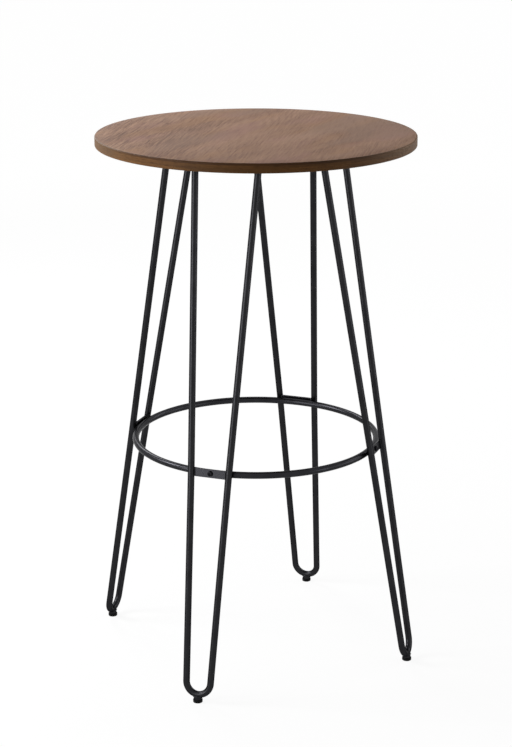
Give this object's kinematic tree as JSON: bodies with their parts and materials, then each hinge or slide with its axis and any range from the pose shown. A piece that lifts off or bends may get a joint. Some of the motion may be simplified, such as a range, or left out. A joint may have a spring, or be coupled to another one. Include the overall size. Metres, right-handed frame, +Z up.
{
  "type": "bar table",
  "caption": "Tall round bar table: wood-veneered top on black hairpin legs of bent round rod, joined by a footrest ring, with levelling glides.",
  "frame": {"origin": "on the floor, under the middle of the round top", "axes": "+Z up; the front leg points to -Y, the right leg to +X, the back leg to +Y and the left leg to -X"},
  "size_m": [0.645, 0.645, 1.016],
  "materials": {
    "face_veneer": "stained open-grain veneer, satin lacquer",
    "edge_wood": "dark stained solid edge, satin lacquer",
    "backing_veneer": "stained veneer, matt",
    "board": "medium density fibreboard",
    "black_frame": "black fine-texture powder coat, satin",
    "black_screws": "black oxide",
    "insert_steel": "zinc plated",
    "stud_steel": "zinc plated",
    "glide_plastic": "black moulded nylon"
  },
  "bodies": {
    "table": {"tabletop_core": "board", "top_face_veneer": "face_veneer", "underside_veneer": "backing_veneer", "edge_lipping": "edge_wood", "footrest_ring": "black_frame", "leg_rod_front": "black_frame", "mounting_plate_front": "black_frame", "plate_screws_front": "black_screws", "threaded_inserts_front": "insert_steel", "ring_tab_front": "black_frame", "ring_screw_front": "black_screws", "glide_boss_front": "black_frame", "leg_rod_right": "black_frame", "mounting_plate_right": "black_frame", "plate_screws_right": "black_screws", "threaded_inserts_right": "insert_steel", "ring_tab_right": "black_frame", "ring_screw_right": "black_screws", "glide_boss_right": "black_frame", "leg_rod_back": "black_frame", "mounting_plate_back": "black_frame", "plate_screws_back": "black_screws", "threaded_inserts_back": "insert_steel", "ring_tab_back": "black_frame", "ring_screw_back": "black_screws", "glide_boss_back": "black_frame", "leg_rod_left": "black_frame", "mounting_plate_left": "black_frame", "plate_screws_left": "black_screws", "threaded_inserts_left": "insert_steel", "ring_tab_left": "black_frame", "ring_screw_left": "black_screws", "glide_boss_left": "black_frame"},
    "glide_front": {"glide_pad_front": "glide_plastic", "glide_stud_front": "stud_steel"},
    "glide_right": {"glide_pad_right": "glide_plastic", "glide_stud_right": "stud_steel"},
    "glide_back": {"glide_pad_back": "glide_plastic", "glide_stud_back": "stud_steel"},
    "glide_left": {"glide_pad_left": "glide_plastic", "glide_stud_left": "stud_steel"}
  },
  "joints": [
    {"name": "glide_front_level", "type": "slide", "parent": "table", "child": "glide_front", "axis": [0, 0, -1], "range_m": [0, 0.005]},
    {"name": "glide_right_level", "type": "slide", "parent": "table", "child": "glide_right", "axis": [0, 0, -1], "range_m": [0, 0.005]},
    {"name": "glide_back_level", "type": "slide", "parent": "table", "child": "glide_back", "axis": [0, 0, -1], "range_m": [0, 0.005]},
    {"name": "glide_left_level", "type": "slide", "parent": "table", "child": "glide_left", "axis": [0, 0, -1], "range_m": [0, 0.005]}
  ]
}
